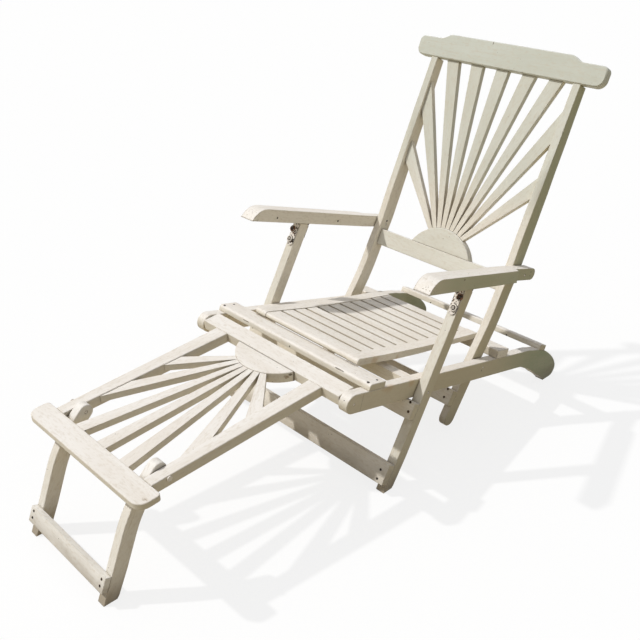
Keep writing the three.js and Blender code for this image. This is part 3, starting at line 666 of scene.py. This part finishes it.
def smoothGroup():
    group = bpy.data.node_groups.new("smoothArcs", "GeometryNodeTree")
    group.interface.new_socket("Geometry", in_out="INPUT", socket_type="NodeSocketGeometry")
    group.interface.new_socket("Geometry", in_out="OUTPUT", socket_type="NodeSocketGeometry")
    start = group.nodes.new("NodeGroupInput")
    merge = group.nodes.new("GeometryNodeMergeByDistance")
    merge.inputs["Distance"].default_value = smoothing["weld"]
    bend = group.nodes.new("GeometryNodeInputMeshEdgeAngle")
    shallow = group.nodes.new("FunctionNodeCompare")
    shallow.operation = "LESS_THAN"
    shallow.inputs[1].default_value = smoothing["shallowAngle"]
    faces = group.nodes.new("GeometryNodeSetShadeSmooth")
    faces.domain = "FACE"
    edges = group.nodes.new("GeometryNodeSetShadeSmooth")
    edges.domain = "EDGE"
    end = group.nodes.new("NodeGroupOutput")
    for a, b in (
        (start.outputs[0], merge.inputs["Geometry"]),
        (merge.outputs[0], faces.inputs["Geometry"]),
        (faces.outputs[0], edges.inputs["Geometry"]),
        (bend.outputs["Unsigned Angle"], shallow.inputs[0]),
        (shallow.outputs[0], edges.inputs["Shade Smooth"]),
        (edges.outputs[0], end.inputs[0]),
    ):
        group.links.new(a, b)
    return group


# the first seed of each kind of material, and the step from piece to piece
seeds = {"steel": (2.0, 1.7), "paint": (1.0, 2.3)}


def seedFor(kind, index):
    first, step = seeds[kind]
    return first + index * step


def dressNodes():
    smooth = smoothGroup()
    for index, (name, obj) in enumerate(sorted(nodes.items())):
        stray = [share for key, share in steelPaint.items() if name.startswith(key)]
        if stray:
            material = steelMaterial("steel_" + name, seedFor("steel", index), paint=stray[0])
        else:
            way = Vector((1, 0, 0)) if name in crossGrain else longestWay(obj)
            material = paintMaterial("paint_" + name, way, seedFor("paint", index), **specialOf(name))
        obj.data.materials.clear()
        obj.data.materials.append(material)
        obj.modifiers.new("smooth", "NODES").node_group = smooth


dressNodes()
print("stage: frame dressed", len(nodes))


# Small hardware
def meshObject(name, bm, material, body):
    mesh = bpy.data.meshes.new(name)
    bmesh.ops.recalc_face_normals(bm, faces=bm.faces)
    bm.to_mesh(mesh)
    bm.free()
    obj = bpy.data.objects.new(name, mesh)
    scene.collection.objects.link(obj)
    mesh.materials.append(material)
    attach(obj, body)
    return obj


def turned(bm, profile, segments=20):
    # a lathe form about z from (radius, height) pairs, from the middle of the top down to the rim
    rings = []
    for radius, height in profile:
        if radius == 0:
            rings.append([bm.verts.new((0, 0, height))])
        else:
            angles = [2 * math.pi * i / segments for i in range(segments)]
            rings.append([bm.verts.new((radius * math.cos(a), radius * math.sin(a), height))
                          for a in angles])
    for a, b in zip(rings, rings[1:]):
        for i in range(segments):
            j = (i + 1) % segments
            if len(a) == 1:
                bm.faces.new((a[0], b[i], b[j]))
            else:
                bm.faces.new((a[i], b[i], b[j], a[j]))


def standOn(bm, at, normal, turn=0.0):
    # moves a form made at the origin, facing +z, to a point of the chair
    z = Vector(normal).normalized()
    upright = Vector((0, 0, 1)).rotation_difference(z).to_matrix().to_4x4()
    matrix = upright @ Matrix.Rotation(turn, 4, "Z")
    bmesh.ops.transform(bm, matrix=Matrix.Translation(Vector(at) * mm) @ matrix, verts=bm.verts)


# A slotted head on a thin flange: heights in mm, the rest as shares of its radius
screwHead = {
    "seat": 0.25,
    "flange": 1.12,
    "flangeTop": 0.05,
    "sunk": -0.4,
    "face": 0.97,
    "top": 0.75,
    "halfSlot": 0.13,
    "taper": 0.93,
    "arcSteps": 9,
}


def halfDisc(bm, radius, height, gap, side):
    # one half of a slotted head
    steps = screwHead["arcSteps"]
    taper = screwHead["taper"]
    start = math.asin(gap / radius)
    angles = [start + (math.pi - 2 * start) * i / steps for i in range(steps + 1)]
    ring = [(radius * math.cos(a), side * radius * math.sin(a)) for a in angles]
    top = [bm.verts.new((x * taper, y * taper + side * gap * (1 - taper), height)) for x, y in ring]
    low = [bm.verts.new((x, y, 0)) for x, y in ring]
    bm.faces.new(top)
    for i in range(len(ring)):
        j = (i + 1) % len(ring)
        bm.faces.new((low[i], low[j], top[j], top[i]))


def screw(name, at, normal, radius, body, turn):
    bm = bmesh.new()
    r = radius * mm
    flange = r * screwHead["flange"]
    seat = screwHead["seat"] * mm
    turned(bm, [(0, seat), (r, seat), (flange, screwHead["flangeTop"] * mm),
                (flange, screwHead["sunk"] * mm)])
    for side in (-1, 1):
        halfDisc(bm, r * screwHead["face"], screwHead["top"] * mm, r * screwHead["halfSlot"], side)
    standOn(bm, at, normal, turn)
    meshObject(name, bm, screwSteel, body)


# A low domed head: the rim's heights in mm, the rest as shares of its radius
nailHead = {"top": 0.35, "shoulder": 0.6, "shoulderTop": 0.28, "rimTop": 0.05, "sunk": -0.4, "segments": 12}


def nail(name, at, normal, radius, body):
    bm = bmesh.new()
    r = radius * mm
    turned(bm, [(0, r * nailHead["top"]), (r * nailHead["shoulder"], r * nailHead["shoulderTop"]),
                (r, nailHead["rimTop"] * mm), (r, nailHead["sunk"] * mm)], nailHead["segments"])
    standOn(bm, at, normal)
    meshObject(name, bm, screwSteel, body)


screwSteel = steelMaterial("steel_screws", 61.0, rust=0.3)
boltSteel = steelMaterial("steel_bolts", 77.0, rust=0.25)
rimSteel = steelMaterial("steel_rim", 83.0, paint=0.15, rust=1.0)
paintedSteel = steelMaterial("steel_washer", 91.0, paint=1.1, rust=0.2)

# name, body, place in mm, the way it faces, radius in mm; each is made on both sides
screwTable = [
    ("upper_stretcher_screw_a", "leg_frame", (258, 6.2, 207), legFront, 3.0),
    ("upper_stretcher_screw_b", "leg_frame", (262, -3, 187.9), legFront, 3.0),
    ("lower_stretcher_screw_a", "leg_frame", (253.6, -69.9, 56.4), legFront, 2.8),
    ("lower_stretcher_screw_b", "leg_frame", (253.5, -79.6, 36.3), legFront, 2.8),
    ("back_stretcher_screw_a", "back_frame", (204.2, 238.3, 121.5), stretcherFront, 2.8),
    ("back_stretcher_screw_b", "back_frame", (203.1, 227.1, 101.9), stretcherFront, 2.8),
    ("foot_plate_screw_a", "footrest_legs", (126, -711.9, 58), plateFront, 2.6),
    ("foot_plate_screw_b", "footrest_legs", (125.5, -716.7, 44), plateFront, 2.6),
    ("plank_screw_a", "base", (234.8, -120.9, 298.9), railTop, 2.8),
    ("plank_screw_b", "base", (234.4, -91.7, 292.6), railTop, 2.4),
]
nailTable = [
    ("arm_nail", "arms", (282, 116.9, 483.3), (1, 0.07, 0), 1.6),
    ("ear_nail_a", "arms", (249, 467.3, 393.9), (1, 0, 0), 1.6),
    ("ear_nail_b", "arms", (249, 465.4, 384.3), (1, 0, 0), 1.2),
]

# these are made once
lonelyNails = [
    ("plank_nail", "base", (4.5, -129, 289.2), (0, -0.98, 0.21), 1.8),
    ("tail_nail_right", "base", (139.4, 604.4, 122.3), (0, -0.92, 0.39), 2.4),
    ("tail_nail_left", "base", (-131, 604.4, 122.3), (0, -0.92, 0.39), 2.2),
    ("knuckle_nail_right", "base", (235.1, -194.1, 284.4), (0, -0.85, 0.52), 1.2),
    ("arm_nail_inner_left", "arms", (-244.3, 56.5, 483.5), (1, -0.07, 0), 2.6),
    ("arm_nail_rear_left", "arms", (-229.3, 266.5, 432.8), (1, -0.07, 0), 2.8),
    ("stile_nail_left", "back_frame", (-201.4, 441.6, 401.7), (1, 0, 0), 3.0),
]
slotTurn = {"first": 0.6, "step": 1.3}


def bothWays(spot, facing):
    for side, label in ((1, "right"), (-1, "left")):
        yield side, label, (spot[0] * side, *spot[1:]), (facing[0] * side, *facing[1:])


def addScrews():
    for index, (name, body, spot, facing, radius) in enumerate(screwTable):
        turn = slotTurn["first"] + index * slotTurn["step"]
        for side, label, at, way in bothWays(spot, facing):
            screw(f"{name}_{label}", at, way, radius, body, turn + side)
    for name, body, spot, facing, radius in nailTable:
        for _, label, at, way in bothWays(spot, facing):
            nail(f"{name}_{label}", at, way, radius, body)
    for name, body, spot, facing, radius in lonelyNails:
        nail(name, spot, facing, radius, body)


# The strap under each arm is held by a dark bolt above and a painted boss below. The profiles hold
# radius and height in mm; second is the steel of the faces whose middles lie between the radii of bands
strapFittings = {
    "strap_bolt": {
        "at": (265.6, 133.3, 431.7),
        "profile": [(0, 1.95), (3.36, 1.95), (4.2, 1.3), (4.2, 0.26), (5.4, 0.26), (5.4, 2.6), (6.96, 2.86),
                    (8.0, 2.08), (8.0, 0), (8.0, -0.5)],
        "segments": 24,
        "steel": boltSteel,
        "second": rimSteel,
        "bands": [(5.4, 9.0)],
    },
    "strap_boss": {
        "at": (261.8, 121.4, 407.2),
        "profile": [(0, 4.896), (1.5, 4.8), (3.9, 4.416), (3.9, 1.44), (5.4, 1.44), (5.4, 4.416),
                    (5.848, 4.8), (7.74, 4.32), (8.6, 3.36), (8.6, 0.48), (9.46, 0), (9.46, -0.5)],
        "segments": 28,
        "steel": paintedSteel,
        "second": screwSteel,
        "bands": [(3.95, 5.35), (0, 1.5)],
    },
}


def paintByRadius(made, at, facing, bands, material):
    # faces whose middle lies in a band of radii round the axis get a second material
    made.data.materials.append(material)
    axis = Vector(facing).normalized()
    for face in made.data.polygons:
        face.use_smooth = True
        away = face.center - Vector(at) * mm
        away -= axis * away.dot(axis)
        if any(low * mm < away.length < high * mm for low, high in bands):
            face.material_index = 1


def addStrapFittings():
    for name, fitting in strapFittings.items():
        for _, label, at, way in bothWays(fitting["at"], legFront):
            bm = bmesh.new()
            turned(bm, [(radius * mm, height * mm) for radius, height in fitting["profile"]],
                   fitting["segments"])
            standOn(bm, at, way)
            made = meshObject(f"{name}_{label}", bm, fitting["steel"], "leg_frame")
            paintByRadius(made, at, way, fitting["bands"], fitting["second"])


addScrews()
addStrapFittings()
print("stage: screws, bolts and bosses")


# Floor, light and camera
def seenPlainly(tree):
    # 1 for what the camera sees, straight or in a glossy or clear surface
    path = shaderNode(tree, "ShaderNodeLightPath").outputs
    mirrored = math2(tree, "MAXIMUM", path["Is Glossy Ray"], path["Is Transmission Ray"])
    return math2(tree, "MAXIMUM", path["Is Camera Ray"], mirrored)


# the floor's own light keeps it white, and its lit share keeps the shadow
floorLook = {"reach": 30, "drop": 0.0005, "bounce": (0.52, 0.44, 0.29, 1), "ownLight": 0.82}


def addFloor():
    bm = bmesh.new()
    bmesh.ops.create_grid(bm, x_segments=2, y_segments=2, size=floorLook["reach"])
    mesh = bpy.data.meshes.new("floor")
    bm.to_mesh(mesh)
    bm.free()
    floor = bpy.data.objects.new("floor", mesh)
    floor.location.z = -floorLook["drop"]
    scene.collection.objects.link(floor)
    material, tree = newTree("floor")
    white = shaderNode(tree, "ShaderNodeEmission", {"Color": plainWhite, "Strength": 1.0}).outputs[0]
    lit = shaderNode(tree, "ShaderNodeBsdfDiffuse", {"Color": plainWhite}).outputs[0]
    bounce = shaderNode(tree, "ShaderNodeBsdfDiffuse", {"Color": floorLook["bounce"]}).outputs[0]
    shown = shaderNode(tree, "ShaderNodeMixShader", {0: floorLook["ownLight"], 1: lit, 2: white}).outputs[0]
    mixed = shaderNode(tree, "ShaderNodeMixShader", {0: seenPlainly(tree), 1: bounce, 2: shown}).outputs[0]
    shaderNode(tree, "ShaderNodeOutputMaterial", {0: mixed})
    mesh.materials.append(material)


# the sky is brighter overhead, and on the side that the light comes from
skyLook = {
    "colour": (0.97, 0.98, 1.0, 1),
    "low": 0.18,
    "rise": 0.34,
    "lean": 0.50,
    "towards": (-0.45, -0.89, 0),
}
sunLook = {"energy": 2.28, "angle": 1.6, "colour": (1.0, 0.985, 0.96), "towards": (-0.513, -0.408, 0.755)}


def addSky():
    world = bpy.data.worlds.new("studio")
    scene.world = world
    world.use_nodes = True
    tree = world.node_tree
    tree.nodes.clear()
    way = shaderNode(tree, "ShaderNodeTexCoord").outputs["Generated"]
    height = band(tree, xyzOf(tree, way)[2], 0.0, 1.0)
    strength = plus(tree, times(tree, height, skyLook["rise"]), skyLook["low"])
    lean = times(tree, dotWith(tree, way, skyLook["towards"]), skyLook["lean"])
    strength = times(tree, strength, plus(tree, lean, 1.0))
    dome = shaderNode(tree, "ShaderNodeBackground", {"Color": skyLook["colour"], "Strength": strength})
    plain = shaderNode(tree, "ShaderNodeBackground", {"Color": plainWhite, "Strength": 1.0})
    mixed = shaderNode(tree, "ShaderNodeMixShader", {0: seenPlainly(tree), 1: dome.outputs[0],
                       2: plain.outputs[0]})
    shaderNode(tree, "ShaderNodeOutputWorld", {0: mixed.outputs[0]})


def addSun():
    lamp = bpy.data.lights.new("key", "SUN")
    lamp.energy = sunLook["energy"]
    lamp.angle = math.radians(sunLook["angle"])
    lamp.color = sunLook["colour"]
    key = bpy.data.objects.new("key", lamp)
    scene.collection.objects.link(key)
    key.rotation_mode = "QUATERNION"
    key.rotation_quaternion = Vector(sunLook["towards"]).to_track_quat("Z", "Y")


# fitted to the photograph: angles in degrees, picture sizes in pixels, sensor in mm, place in metres
cameraFit = {
    "yaw": 43.78,
    "pitch": 26.79,
    "roll": 3.13,
    "focal": 810,
    "picture": 640,
    "centre": (307.6, 315.4),
    "sensor": 36,
    "at": (1.145, -1.265452, 1.183),
}


def addCamera():
    yaw, pitch, roll = (math.radians(cameraFit[key]) for key in ("yaw", "pitch", "roll"))
    forward = Vector((-math.sin(yaw) * math.cos(pitch), math.cos(yaw) * math.cos(pitch), -math.sin(pitch)))
    right = forward.cross(Vector((0, 0, 1))).normalized()
    up = right.cross(forward)
    x = right * math.cos(roll) + up * math.sin(roll)
    y = -right * math.sin(roll) + up * math.cos(roll)
    data = bpy.data.cameras.new("camera")
    data.sensor_width = cameraFit["sensor"]
    data.lens = cameraFit["focal"] / cameraFit["picture"] * cameraFit["sensor"]
    shiftX, shiftY = ((cameraFit["picture"] / 2 - c) / cameraFit["picture"] for c in cameraFit["centre"])
    data.shift_x = shiftX
    data.shift_y = -shiftY
    camera = bpy.data.objects.new("camera", data)
    scene.collection.objects.link(camera)
    matrix = Matrix((x, y, -forward)).transposed().to_4x4()
    matrix.translation = cameraFit["at"]
    camera.matrix_world = matrix
    scene.camera = camera


addFloor()
addSky()
addSun()
addCamera()
print("stage: floor, light and camera")
